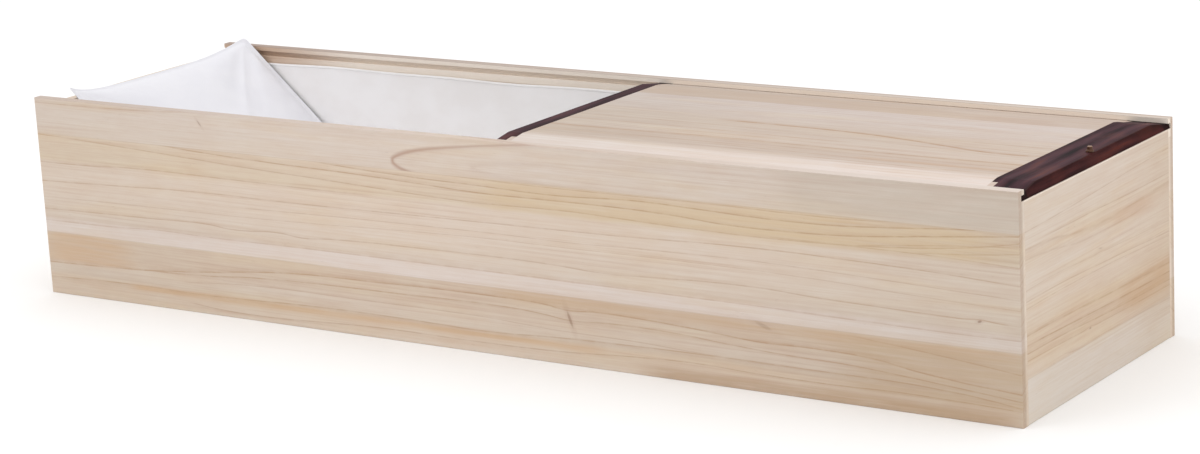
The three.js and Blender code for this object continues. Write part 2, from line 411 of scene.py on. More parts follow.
def addEdges(tree, spot, board, colour):
    along, deep, down = spot["along"], spot["deep"], spot["down"]

    # the glue joints
    for joint in board["joints"]:
        gap = calc(tree, "ABSOLUTE", calc(tree, "SUBTRACT", down, joint))
        seam = product(tree, spread(tree, gap, paleWood["seamWidth"], 0.2), paleWood["seamStrength"])
        colour = blendTones(tree, seam, colour, paleWood["pore"])

    # colour along upper edges and in grooves: mostly painted highlights and painted shade, listed with each
    # board
    for edgeShadingAndTone in board["edgeShadingAndTone"]:
        onEdge = calc(tree, "LESS_THAN", down, edgeShadingAndTone["down"])
        inGroove = calc(tree, "GREATER_THAN", deep, edgeShadingAndTone.get("deep", -99.0))
        amount = spread(tree, along, *edgeShadingAndTone["along"], *edgeShadingAndTone["amount"])
        colour = blendTones(tree, product(tree, onEdge, inGroove, amount), colour, tone(*edgeShadingAndTone["colour"]))

    # end grain soaks up more finish, less so towards the heart side
    middle = board["size"][0] / 2
    fromMiddle = calc(tree, "ABSOLUTE", calc(tree, "SUBTRACT", along, middle))
    cut = calc(tree, "GREATER_THAN", fromMiddle, middle - 0.3)
    heartSide = spread(tree, deep, *paleWood["endLightFrom"])
    ends = blendTones(tree, heartSide, paleWood["endGrain"], paleWood["endLight"])
    return blendTones(tree, product(tree, cut, paleWood["endStrength"]), colour, ends)


def paleWoodMaterial(name, given):
    board = {**plainBoard, **given}
    lumps, veils, seed = paleWood["lumps"], paleWood["veils"], board["seed"]
    material, tree, shader = newMaterial(name, paleWood["roughness"][0])
    where, along, deep, down = millimetres(tree, **board["place"])
    spot = {"where": where, "along": along, "deep": deep, "down": down}
    spot["level"] = ringLevel(tree, spot, board)
    colour = boardTone(tree, spot, board)

    # long fibres, mottling, silky figure and short pores
    fibre = cloud(tree, where, lumps["fibre"], 5, 0.58, shift=(0, 0, seed))
    mottle = cloud(tree, where, lumps["mottle"], 4, 0.5, shift=(seed, 0, 9))
    figure = cloud(tree, where, lumps["figure"], 3, 0.6, shift=(6, seed, 3), twist=0.6)
    colour = veil(tree, board["fibre"], colour, fibre, veils["fibre"])
    colour = veil(tree, paleWood["mottle"], colour, mottle, veils["mottle"])
    colour = veil(tree, board["figure"], colour, figure, veils["figure"])
    pores = spread(tree, cloud(tree, where, lumps["ticks"], 2, 0.5, shift=(1, seed, 2)), 0.68, 0.80)
    some = spread(tree, cloud(tree, where, lumps["porePatch"], 2, shift=(seed, 1, 4)), 0.45, 0.68)
    dark = product(tree, pores, some, paleWood["poreStrength"])
    colour = blendTones(tree, dark, colour, paleWood["pore"])

    colour = addPatches(tree, spot, board, colour)
    colour = addLines(tree, spot, board, colour)
    colour = addEdges(tree, spot, board, colour)
    plug(tree, shader.inputs["Base Color"], colour)
    plug(tree, shader.inputs["Roughness"], spread(tree, fibre, 0.3, 0.7, *paleWood["roughness"]))
    height = calc(tree, "MULTIPLY_ADD", pores, -0.5, fibre)
    reliefFrom(tree, shader, height, paleWood["reliefDepth"], paleWood["reliefStrength"])
    return material


# the boards, in millimetres: along the grain, and across the face from its upper or far edge
frontBoard = {
    "size": (1950, 360),
    "place": {"mirror": (1, 1, -1), "corner": (975, 270, 360)},
    "seed": 11.3,
    "sway": 1.5,
    # darker towards both ends; towards the foot end this is painted shade
    "drift": [(0, (0.93, 0.93, 0.92)), (0.42, (1, 1, 1)), (0.7, (0.97, 0.97, 0.965)), (1, (0.9, 0.9, 0.88))],
    "joints": [64.4, 245],
    "edgeShadingAndTone": [
        # painted highlight on the top edge, growing towards the foot end
        {"down": 0.9, "along": (1200, 1800), "amount": (0, 0.4), "colour": (250, 238, 232)},
        # painted shade on the top edge towards the head end
        {"down": 0.9, "along": (0, 1100), "amount": (0.55, 0.1), "colour": (184, 166, 156)},
    ],
    "tones": [
        (0, (213, 197, 185)), (20, (216, 201, 189)), (63.9, (215, 200, 187)),
        (64.6, (215, 196, 176)), (108, (215, 197, 176)), (116, (219, 202, 187)),
        (160, (219, 202, 187)), (200, (217, 201, 186)), (217, (215, 199, 185)),
        (221, (221, 207, 198)), (244.7, (221, 207, 198)), (245.3, (210, 191, 172)),
        (285, (209, 190, 172)), (300, (214, 198, 183)), (318, (211, 194, 177)),
        (325, (213, 193, 173)), (340, (216, 198, 180)), (360, (219, 202, 186)),
    ],
    "warmth": 0.22,
    "ringGap": 9.0,
    "ringStrength": 0.2,
    "lines": [
        {"points": [(0, 8), (120, 8), (190, 7), (260, 5), (310, 3), (372, 0)], "width": 1.6,
         "strength": 0.5, "between": (0, 64)},
        {"points": [(270, 62), (350, 67.5), (560, 75), (700, 78), (845, 83), (970, 88), (1100, 88),
                    (1250, 88), (1350, 91), (1450, 97), (1564, 97), (1657, 94), (1720, 89), (1814, 80),
                    (1950, 67.5)], "width": 1.5, "strength": 0.7, "between": (64.4, 115)},
        {"points": [(625, 64), (845, 73.7), (970, 76), (1126, 79), (1282, 74), (1407, 77), (1500, 80),
                    (1626, 80), (1720, 75), (1845, 66), (1950, 60)], "width": 1.5, "strength": 0.7,
         "between": (64.4, 115)},
        {"points": [(0, 66), (280, 78), (440, 86), (650, 94), (880, 103), (970, 105), (1157, 103),
                    (1264, 106), (1400, 110), (1600, 110), (1720, 105), (1830, 96), (1950, 78)],
         "width": 1.4, "strength": 0.55, "between": (64.4, 118)},
        {"points": [(900, 64), (1100, 67), (1400, 66), (1650, 68), (1750, 64)], "width": 1.2,
         "strength": 0.5, "between": (64.4, 115)},
        {"points": [(1640, 110), (1782, 97), (1860, 90), (1950, 84)], "width": 1.2, "strength": 0.5},
        {"points": [(1740, 111), (1845, 104), (1950, 94)], "width": 1.2, "strength": 0.45},
        {"points": [(1500, 109), (1700, 109), (1845, 111), (1950, 115)], "width": 1.3, "strength": 0.5,
         "glow": 5},
        {"points": [(0, 117), (125, 115), (220, 111), (450, 112), (640, 113), (760, 112)], "width": 1.6,
         "strength": 0.55},
        {"points": [(0, 152), (155, 147), (375, 141), (560, 141.5), (800, 139), (980, 137), (1220, 135),
                    (1500, 129), (1657, 131), (1780, 134), (1950, 142.5)], "width": 1.3, "strength": 0.6,
         "flank": 0.2},
        {"points": [(430, 161), (980, 154), (1157, 155), (1282, 152), (1500, 150), (1595, 152),
                    (1782, 158), (1950, 164)], "width": 1.1, "strength": 0.45, "flank": 0.15},
        {"points": [(0, 181), (250, 178), (500, 176), (970, 164), (1126, 164), (1438, 164), (1595, 167),
                    (1782, 175), (1950, 180)], "width": 1.0, "strength": 0.38, "flank": 0.2},
        {"points": [(0, 203), (125, 201), (250, 199), (387, 197), (440, 201), (545, 197), (600, 201),
                    (660, 197), (812, 194), (1095, 194), (1230, 199), (1300, 196), (1407, 192),
                    (1520, 192), (1595, 196), (1750, 200), (1950, 204)], "width": 1.4, "strength": 0.58,
         "flank": 0.25},
        {"points": [(0, 224), (187, 222), (260, 219), (375, 220), (560, 219), (970, 219), (1220, 220),
                    (1530, 222), (1720, 225), (1950, 226)], "width": 1.5, "strength": 0.5, "glow": -14,
         "flank": 0.35},
        {"points": [(0, 302), (125, 299), (250, 294), (375, 284), (500, 271), (594, 265), (750, 262),
                    (980, 260), (1090, 262), (1140, 267), (1190, 265), (1282, 267), (1407, 273),
                    (1500, 279), (1595, 278), (1690, 281), (1782, 294), (1950, 308)], "width": 1.8,
         "strength": 0.72, "glow": -12, "flank": 0.4},
        {"points": [(210, 295), (375, 291), (470, 284), (625, 279), (812, 277), (980, 275), (1091, 279),
                    (1143, 283), (1220, 281), (1345, 283), (1438, 289), (1532, 294), (1657, 297),
                    (1750, 303), (1950, 320)], "width": 1.5, "strength": 0.6, "glow": 8, "flank": 0.25},
        {"points": [(310, 309), (500, 297), (687, 297), (980, 298), (1095, 303), (1157, 304), (1282, 306),
                    (1407, 311), (1560, 314)], "width": 1.1, "strength": 0.42, "flank": 0.2},
        {"points": [(0, 330), (187, 325), (375, 326), (625, 320), (812, 320), (980, 322), (1126, 316),
                    (1220, 314), (1395, 312), (1560, 313), (1800, 316), (1950, 330)], "width": 1.6,
         "strength": 0.6, "glow": 13, "flank": 0.4},
        {"points": [(310, 341), (437, 350), (750, 342), (980, 342), (1126, 339), (1251, 332), (1357, 328),
                    (1500, 331), (1626, 332), (1750, 330), (1950, 335)], "width": 1.3, "strength": 0.6,
         "glow": 8, "flank": 0.25},
        {"points": [(1650, 249), (1782, 260), (1950, 278)], "width": 1.4, "strength": 0.5, "glow": -9},
    ],
    "arches": [
        {"tip": (803, 49), "bend": 0.118, "width": 2.4, "fade": 10, "strength": 0.68, "limit": 64.4},
        {"tip": (968, 47), "bend": 0.5, "width": 4.5, "fade": 10, "strength": 0.14, "limit": 64.4},
    ],
    "knots": [
        {"at": (1143, 283), "reach": (60, 18), "pull": -2, "heart": (14, 2.8), "lean": 70, "strength": 0.5},
        {"at": (1507, 252), "reach": (50, 12), "pull": -4, "heart": (15, 3.6), "lean": 20, "strength": 0.26},
        {"at": (1882, 203), "reach": (22, 10), "pull": 3, "heart": (3.8, 2.0), "lean": -20, "strength": 0.6},
        {"at": (386, 18), "reach": (18, 10), "pull": 1.5, "heart": (7, 1.5), "lean": 50, "strength": 0.4},
    ],
    "stains": [
        {"area": (0, 190, 246, 300), "colour": (203, 168, 132), "strength": 0.55},
        {"area": (1290, 1950, 340, 372), "colour": (180, 146, 112), "strength": 0.6},
        {"area": (1000, 1950, 246, 262), "colour": (196, 164, 132), "strength": 0.6},
        {"area": (980, 1900, 66, 112), "colour": (211, 186, 148), "strength": 0.5},
        {"area": (1650, 2000, 255, 335), "colour": (190, 164, 134), "strength": 0.55},
        {"area": (200, 1200, 324, 334), "colour": (206, 168, 124), "strength": 0.5, "soft": 4},
        {"area": (1560, 2000, -20, 62), "colour": (190, 176, 160), "strength": 0.4},
    ],
}

backBoard = {
    "size": (1950, 360),
    "place": {"mirror": (-1, -1, -1), "corner": (975, 270, 360)},
    "seed": 29.1,
    "joints": [118, 262],
    "edgeShadingAndTone": [
        # painted light in the groove and on the inner face below the top, where shade would fall; it fades
        # out near the head end
        {"down": 30, "deep": 8.6, "along": (1620, 1900), "amount": (0.8, 0.05), "colour": (250, 239, 226)},
        # a warm brown patch on the inner faces near the head end
        {"down": 30, "deep": 8.6, "along": (1600, 1860), "amount": (0, 0.42), "colour": (178, 128, 84)},
        # a grey tint along the top edge, deeper towards the head end
        {"down": 0.9, "along": (0, 1900), "amount": (0.45, 0.8), "colour": (158, 138, 128)},
    ],
    "tones": [
        (0, (214, 196, 180)), (117.6, (217, 201, 188)), (118.4, (212, 192, 170)), (190, (216, 198, 180)),
        (261.6, (218, 202, 190)), (262.4, (207, 186, 163)), (360, (208, 188, 167)),
    ],
    "ringGap": 13.0,
    "ringStrength": 0.3,
    "warmth": 0.3,
    "lines": [
        {"points": [(0, 13), (400, 10), (900, 14), (1400, 12), (1950, 9)], "width": 1.4,
         "strength": 0.6},
        {"points": [(0, 30), (500, 34), (1200, 30), (1950, 37)], "width": 1.4, "strength": 0.5},
        {"points": [(0, 140), (400, 137), (900, 146), (1400, 141), (1950, 131)], "width": 1.5,
         "strength": 0.6},
        {"points": [(0, 171), (500, 163), (1000, 166), (1500, 172), (1950, 166)], "width": 1.3,
         "strength": 0.5},
        {"points": [(0, 214), (600, 206), (1200, 211), (1950, 200)], "width": 1.5, "strength": 0.55},
        {"points": [(0, 286), (600, 292), (1300, 281), (1950, 290)], "width": 1.8, "strength": 0.65,
         "glow": 12},
        {"points": [(0, 322), (700, 314), (1400, 326), (1950, 318)], "width": 1.6, "strength": 0.55},
    ],
    "arches": [{"tip": (520, 66), "bend": 0.16, "width": 2.0, "fade": 14, "strength": 0.6, "limit": 118}],
    "knots": [
        {"at": (1310, 232), "reach": (28, 14), "pull": -6, "heart": (9, 2.4), "lean": 35, "strength": 0.7},
    ],
}

footBoard = {
    "size": (504, 343),
    "place": {"mirror": (1, 1, -1), "turn": (0, 0, -90), "corner": (252, 975, 343)},
    "seed": 5.7,
    "sway": 1.5,
    "drift": [(0, (1, 1, 1)), (0.6, (0.98, 0.96, 0.95)), (1, (0.93, 0.89, 0.84))],
    "joints": [272],
    # painted highlight along the top edge, under the cap
    "edgeShadingAndTone": [{"down": 2.2, "along": (0, 504), "amount": (0.6, 0.5), "colour": (254, 240, 226)}],
    "tones": [
        (0, (217, 201, 186)), (68, (216, 200, 184)), (88, (214, 195, 176)), (120, (217, 201, 185)),
        (170, (216, 198, 180)), (196, (213, 194, 173)), (204, (211, 189, 165)), (245, (210, 188, 164)),
        (258, (214, 196, 178)), (271.6, (213, 195, 175)), (272.4, (217, 205, 193)), (343, (221, 210, 198)),
    ],
    "ringGap": 10.0,
    "ringStrength": 0.2,
    "warmth": 0.3,
    "lines": [
        {"points": [(0, 48), (125, 45), (250, 40), (400, 33), (504, 30)], "width": 1.0, "strength": 0.5,
         "flank": 0.15},
        {"points": [(60, 68), (150, 69), (220, 69), (340, 71), (504, 70)], "width": 1.2, "strength": 0.5,
         "flank": 0.2},
        {"points": [(0, 75), (90, 79), (180, 90), (290, 93), (370, 90), (504, 85)], "width": 3.0,
         "strength": 0.35, "glow": 9, "flank": 0.6},
        {"points": [(0, 90), (100, 96), (160, 104), (250, 107), (380, 106), (440, 101)], "width": 2.2,
         "strength": 0.3, "glow": -9, "flank": 0.6},
        {"points": [(0, 137), (120, 135), (200, 138), (330, 142), (504, 148)], "width": 0.9,
         "strength": 0.35},
        {"points": [(0, 154), (110, 153), (260, 157), (504, 166)], "width": 1.1, "strength": 0.45,
         "flank": 0.15},
        {"points": [(0, 165), (150, 163), (504, 173)], "width": 1.0, "strength": 0.4, "flank": 0.15},
        {"points": [(0, 206), (90, 206), (160, 208), (290, 212), (504, 217)], "width": 2.2,
         "strength": 0.55, "glow": -8, "flank": 0.5},
        {"points": [(0, 221), (100, 223), (200, 226), (330, 229), (504, 232)], "width": 1.6,
         "strength": 0.7, "glow": 12, "flank": 0.3},
        {"points": [(0, 233), (140, 235), (260, 240), (504, 245)], "width": 1.6, "strength": 0.55,
         "flank": 0.4},
        {"points": [(0, 244), (150, 247), (290, 250), (504, 254)], "width": 1.2, "strength": 0.5},
        {"points": [(100, 258), (140, 268), (270, 270), (504, 275)], "width": 1.4, "strength": 0.35},
    ],
    "knots": [
        {"at": (252, 133), "reach": (18, 8), "pull": 2, "heart": (6, 1.1), "lean": 8, "strength": 0.25},
        {"at": (212, 249), "reach": (16, 7), "pull": 2, "heart": (2.6, 1.2), "lean": 0, "strength": 0.55},
    ],
    "stains": [
        {"area": (330, 504, 210, 262), "colour": (196, 158, 118), "strength": 0.6},
        {"area": (300, 430, 88, 112), "colour": (202, 166, 136), "strength": 0.5, "soft": 6},
        {"area": (400, 560, 250, 300), "colour": (196, 168, 138), "strength": 0.35},
    ],
}

headBoard = {
    "size": (504, 343),
    "place": {"mirror": (1, 1, -1), "turn": (0, 0, 90), "corner": (252, 975, 343)},
    "seed": 47.9,
    "joints": [152],
    "tones": [
        (0, (216, 200, 185)), (151.6, (213, 194, 175)), (152.4, (215, 200, 187)), (250, (212, 193, 173)),
        (343, (210, 191, 170)),
    ],
    "ringGap": 12.0,
    "ringStrength": 0.3,
    "warmth": 0.3,
    "lines": [
        {"points": [(0, 42), (200, 36), (504, 47)], "width": 1.3, "strength": 0.5},
        {"points": [(0, 98), (260, 88), (504, 93)], "width": 1.5, "strength": 0.5},
        {"points": [(0, 190), (240, 198), (504, 188)], "width": 1.5, "strength": 0.6},
        {"points": [(0, 236), (300, 242), (504, 232)], "width": 1.4, "strength": 0.5},
        {"points": [(0, 300), (250, 292), (504, 301)], "width": 1.5, "strength": 0.55},
    ],
    "arches": [{"tip": (140, 252), "bend": 0.2, "width": 2.0, "fade": 12, "strength": 0.5, "limit": 343}],
}

lidBoard = {
    "size": (860, 502),
    "place": {"mirror": (1, -1, 1), "turn": (90, 0, 0), "corner": (-45, 360, 200)},
    "seed": 17.4,
    "sway": 2.0,
    "drift": [(0, (0.85, 0.855, 0.855)), (0.5, (0.905, 0.9, 0.9)), (1, (0.93, 0.92, 0.92))],
    "ringTilt": 0.6,
    "joints": [60],
    # from 394 to 478 mm across, on the near bevel, the tones are lighter: a painted highlight where the bevel
    # faces the light
    "tones": [
        (0, (203, 185, 171)), (59.6, (204, 186, 172)), (60.4, (213, 199, 191)), (100, (213, 199, 190)),
        (170, (210, 194, 182)), (200, (208, 191, 176)), (250, (208, 191, 176)), (306, (212, 195, 180)),
        (316, (206, 187, 171)), (372, (206, 188, 173)), (394, (219, 203, 191)), (404, (228, 214, 204)),
        (455, (232, 219, 212)), (478, (216, 202, 192)), (502, (209, 193, 180)),
    ],
    "ringGap": 12.0,
    "ringStrength": 0.2,
    "warmth": 0.16,
    "fibre": 0.42,
    "lines": [
        {"points": [(240, 201), (420, 203), (530, 211), (600, 222), (700, 244), (780, 260), (860, 256)],
         "width": 4.8, "strength": 0.95, "glow": -14, "flank": 0.35},
        {"points": [(0, 318), (120, 318), (240, 314), (330, 312), (450, 315), (560, 317), (700, 318),
                    (860, 316)], "width": 2.8, "strength": 0.8, "glow": 12, "flank": 0.4},
        {"points": [(0, 238), (200, 236), (350, 238), (500, 246)], "width": 2.4, "strength": 0.42},
        {"points": [(0, 268), (240, 268), (380, 270), (470, 273), (560, 270)], "width": 3.6,
         "strength": 0.46},
        {"points": [(60, 158), (150, 156), (300, 132), (460, 131), (640, 131), (860, 126)], "width": 2.4,
         "strength": 0.24},
        {"points": [(560, 202), (700, 204), (860, 206)], "width": 3.6, "strength": 0.42},
        {"points": [(640, 228), (760, 236), (860, 240)], "width": 2.8, "strength": 0.45},
        {"points": [(300, 352), (500, 360), (860, 360)], "width": 3.0, "strength": 0.4},
        {"points": [(0, 30), (300, 22), (600, 30), (860, 24)], "width": 2.6, "strength": 0.2},
        {"points": [(160, 292), (330, 289), (520, 293), (700, 296)], "width": 4.5, "strength": 0.3},
        {"points": [(380, 246), (520, 249), (650, 256), (760, 270), (860, 276)], "width": 4.0,
         "strength": 0.3},
        {"points": [(420, 334), (600, 338), (860, 340)], "width": 4.5, "strength": 0.34},
        {"points": [(0, 352), (160, 350), (330, 346), (520, 350)], "width": 4.0, "strength": 0.28},
        {"points": [(500, 380), (680, 384), (860, 382)], "width": 4.0, "strength": 0.3},
    ],
    "stains": [
        {"area": (0, 560, 0, 58), "colour": (190, 166, 144), "strength": 0.5},
        {"area": (660, 780, 30, 60), "colour": (182, 150, 128), "strength": 0.35},
        {"area": (600, 860, 352, 366), "colour": (196, 164, 136), "strength": 0.5, "soft": 4},
    ],
}

floorBoard = {
    "size": (1914, 504),
    "place": {"mirror": (1, -1, 1), "turn": (90, 0, 0), "corner": (957, 15, 252)},
    "seed": 63.2,
    "joints": [168, 336],
    "tones": [
        (0, (214, 198, 182)), (167.6, (216, 200, 186)), (168.4, (210, 190, 170)), (335.6, (213, 194, 176)),
        (336.4, (216, 202, 190)), (504, (212, 194, 176)),
    ],
    "ringGap": 14.0,
    "ringStrength": 0.35,
    "warmth": 0.25,
}


# rosewood of the lid's caps
roseWood = {
    "place": {"turn": (0, 0, -90), "corner": (252, 0, 0)},
    "half": 252,  # mm, half a cap's length
    "ends": 238,  # mm from the middle, past which the dark end grain shows
    "bevelFrom": -965.5,  # mm along the lid, past which the outer bevel shows redder wood
    "dark": tone(54, 28, 35),
    "middle": tone(76, 47, 54),
    "red": tone(102, 62, 58),
    "black": tone(24, 10, 13),
    "bevel": (0.8, 0.5, 0.38, 1),
    "bands": 0.3,
    "bend": 22.0,  # mm that its bands wander
    "tilt": 0.7,
    "bandShare": 0.07,  # of its tone, as are the next two
    "streakShare": 0.35,
    "broadShare": 0.65,
    "redStrength": 0.4,
    "endStrength": 0.75,
    "poreStrength": 0.6,
    "roughness": 0.46,
    "gloss": 0.05,
}


def roseWoodMaterial(name, seed):
    material, tree, shader = newMaterial(name, roseWood["roughness"])
    where, along, deep, down = millimetres(tree, **roseWood["place"])
    bend = centred(tree, cloud(tree, where, (170, 60, 40), 2, shift=(seed, 0, 0)))
    level = calc(tree, "MULTIPLY_ADD", deep, roseWood["tilt"], down)
    level = calc(tree, "MULTIPLY_ADD", bend, roseWood["bend"], level)
    band = calc(tree, "SINE", product(tree, level, roseWood["bands"]))
    broad = cloud(tree, where, (150, 22, 18), 3, 0.5, shift=(seed, 2, 0))
    streak = cloud(tree, where, (120, 3.5, 3.0), 5, 0.6, shift=(0, seed, 0))
    mix = product(tree, broad, roseWood["broadShare"])
    mix = calc(tree, "MULTIPLY_ADD", streak, roseWood["streakShare"], mix)
    mix = calc(tree, "MULTIPLY_ADD", band, roseWood["bandShare"], mix)
    colour = toneRamp(tree, mix, [
        (0.3, roseWood["black"]), (0.44, roseWood["dark"]),
        (0.58, roseWood["middle"]), (0.72, roseWood["red"])])
    red = spread(tree, cloud(tree, where, (80, 40, 30), 3, shift=(4, seed, 1)), 0.48, 0.75)
    colour = blendTones(tree, product(tree, red, roseWood["redStrength"]), colour, roseWood["red"])
    fromMiddle = calc(tree, "ABSOLUTE", calc(tree, "SUBTRACT", along, roseWood["half"]))
    cut = calc(tree, "GREATER_THAN", fromMiddle, roseWood["ends"])
    colour = blendTones(tree, product(tree, cut, roseWood["endStrength"]), colour, roseWood["black"])
    pores = spread(tree, cloud(tree, where, (9, 0.8, 0.7), 2, shift=(seed, seed, 0)), 0.66, 0.76)
    colour = blendTones(tree, product(tree, pores, roseWood["poreStrength"]), colour, roseWood["black"])
    outer = calc(tree, "LESS_THAN", deep, roseWood["bevelFrom"])
    colour = blendTones(tree, outer, colour, roseWood["bevel"], "MULTIPLY")
    plug(tree, shader.inputs["Base Color"], colour)
    rough = roseWood["roughness"]
    plug(tree, shader.inputs["Roughness"], spread(tree, streak, 0.3, 0.7, rough - 0.06, rough + 0.08))
    shader.inputs["Specular IOR Level"].default_value = roseWood["gloss"]
    reliefFrom(tree, shader, calc(tree, "MULTIPLY_ADD", pores, -1.0, streak), 0.0002, 0.5)
    return material


# a turned brown peg, rubbed shiny by fingers; its top is painted paler, a painted highlight
pegWood = {
    "dark": tone(58, 34, 22),
    "light": tone(108, 74, 52),
    # painted highlight on the top face
    "top": tone(172, 140, 118),
    "topHighlightStrength": 0.75,
    "topHighlightDepth": 0.6,  # mm
    "lumps": (1.2, 1.2, 14),
    "roughness": 0.28,
    "gloss": 0.2,
}


def pegMaterial():
    material, tree, shader = newMaterial("peg wood", pegWood["roughness"])
    where, x, y, z = millimetres(tree)
    streak = cloud(tree, where, pegWood["lumps"], 4)
    colour = toneRamp(tree, streak, [(0.3, pegWood["dark"]), (0.7, pegWood["light"])])
    # the top 0.6 mm is painted paler: a painted highlight
    top = 1000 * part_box("lid_peg")[1][2]
    cut = calc(tree, "GREATER_THAN", z, top - pegWood["topHighlightDepth"])
    colour = blendTones(tree, product(tree, cut, pegWood["topHighlightStrength"]), colour, pegWood["top"])
    plug(tree, shader.inputs["Base Color"], colour)
    shader.inputs["Specular IOR Level"].default_value = pegWood["gloss"]
    reliefFrom(tree, shader, streak, 0.0001, 0.4)
    return material


eased = {  # metres of each sharp edge that fine sandpaper takes off
    "side": 0.0016,
    "box": 0.001,
    "lid": 0.0007,
}


def dress(node, material, ease=0.0):
    # gives a piece of wood its finish and breaks its sharp edges
    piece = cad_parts[node]
    for slot in piece.material_slots:
        slot.material = material
    if ease:
        join = piece.modifiers.new("join", "WELD")
        join.merge_threshold = 0.00002
        bevel = piece.modifiers.new("eased edges", "BEVEL")
        bevel.width = ease
        bevel.segments = 3
        bevel.limit_method = "ANGLE"
        bevel.angle_limit = math.radians(40)


dress("side_board_front", paleWoodMaterial("front side wood", frontBoard), eased["side"])
dress("side_board_back", paleWoodMaterial("back side wood", backBoard), eased["side"])
dress("end_board_foot", paleWoodMaterial("foot end wood", footBoard), eased["box"])
dress("end_board_head", paleWoodMaterial("head end wood", headBoard), eased["box"])
dress("bottom_board", paleWoodMaterial("bottom wood", floorBoard), eased["box"])
dress("lid_panel", paleWoodMaterial("lid wood", lidBoard), eased["lid"])
dress("lid_cap_head", roseWoodMaterial("head cap rosewood", 3.1), eased["lid"])
dress("lid_cap_foot", roseWoodMaterial("foot cap rosewood", 8.6), eased["lid"])
dress("lid_peg", pegMaterial())
print("wood done")


# cloth
fabric = {  # what the lining and the pillow have in common
    "threadLumps": (30, 30, 4),
    "shadeLumps": (90, 90, 60),
    "gapStrength": 0.12,
    "sheenRoughness": 0.5,
    "gloss": 0.25,
    "reliefDepth": 0.0004,
    "reliefStrength": 0.35,
}


def clothMaterial(name, cloth):
    material, tree, shader = newMaterial(name, cloth["roughness"])
    where, x, y, z = millimetres(tree)
    # warp and weft, woven over and under on three faces
    turns = 2 * math.pi / cloth["pitch"]
    waves = [calc(tree, "SINE", calc(tree, "MULTIPLY", way, turns)) for way in (x, y, z)]
    weave = product(tree, calc(tree, "ADD", waves[0], waves[1]), waves[2])
    uneven = cloud(tree, where, fabric["threadLumps"], 3, 0.6)
    shade = spread(tree, cloud(tree, where, fabric["shadeLumps"], 3), 0.35, 0.7)
    colour = blendTones(tree, shade, tone(*cloth["tone"]), tone(*cloth["shade"]))
    gaps = product(tree, spread(tree, weave, 0.2, 1.2), fabric["gapStrength"])
    colour = blendTones(tree, gaps, colour, tone(*cloth["gap"]))
    plug(tree, shader.inputs["Base Color"], colour)
    shader.inputs["Sheen Weight"].default_value = cloth["sheen"]
    shader.inputs["Sheen Roughness"].default_value = fabric["sheenRoughness"]
    shader.inputs["Specular IOR Level"].default_value = fabric["gloss"]
    height = calc(tree, "MULTIPLY_ADD", weave, 0.35, uneven)
    reliefFrom(tree, shader, height, fabric["reliefDepth"], fabric["reliefStrength"])
    return material


# lining: one sheet tucked into the box, with a turned hem
lining = {
    "halfX": 0.9545,  # to the sheet's middle, between the boards
    "halfY": 0.2495,
    "floor": 0.0172,
    "hem": 0.3305,
    "corner": 0.010,  # rounding where the sheet turns
    "thickness": 0.0009,
    "hemTurn": [  # each step of the turned hem: downwards and inwards
        (0.0005, 0.0003), (-0.0002, 0.0004), (-0.0015, 0.0002), (-0.0025, -0.0003),
    ],
    "margin": 0.012,  # where the first and last row of its mesh lie
    "rows": (96, 26, 16),
    "reach": 0.02,  # how near a wall the hem counts as its own
    "folds": (0.0022, 0.0016, 0.0024),  # metres: overall, slow waves, creases
    "creases": [  # place, width and height of each crease
        (-0.70, 0.035, 0.8), (-0.60, 0.06, -0.5), (-0.33, 0.05, 0.45), (-0.05, 0.04, 0.5), (0.31, 0.06, 0.5),
        (0.55, 0.04, 0.6), (0.8, 0.05, 0.4),
    ],
    "cut": (1.15, 2.56),  # before it was tucked in: width, length
    "tone": (250, 248, 248), "shade": (246, 243, 242), "gap": (228, 225, 224),
    "pitch": 1.1, "roughness": 0.9, "sheen": 0.25,
}


def liningFold(across, along, height):
    # soft folds of the walls, in metres towards the middle, for a place along one long wall
    top = lining["hem"] - lining["floor"]
    rise = min(1, max(0, height / top))
    loose = math.sin(math.pi * rise) ** 0.7 if 0 < rise < 1 else 0
    slow = math.sin(along * 6.1 + across * 2.3) * 0.5 + math.sin(along * 13.7 + rise * 2.6 + across) * 0.3
    slant = along + 0.16 * rise
    crease = sum(size * math.exp(-((slant - place) / width) ** 2) for place, width, size in lining["creases"])
    base, slowFold, creaseFold = lining["folds"]
    return loose * (base + slowFold * slow + creaseFold * crease)


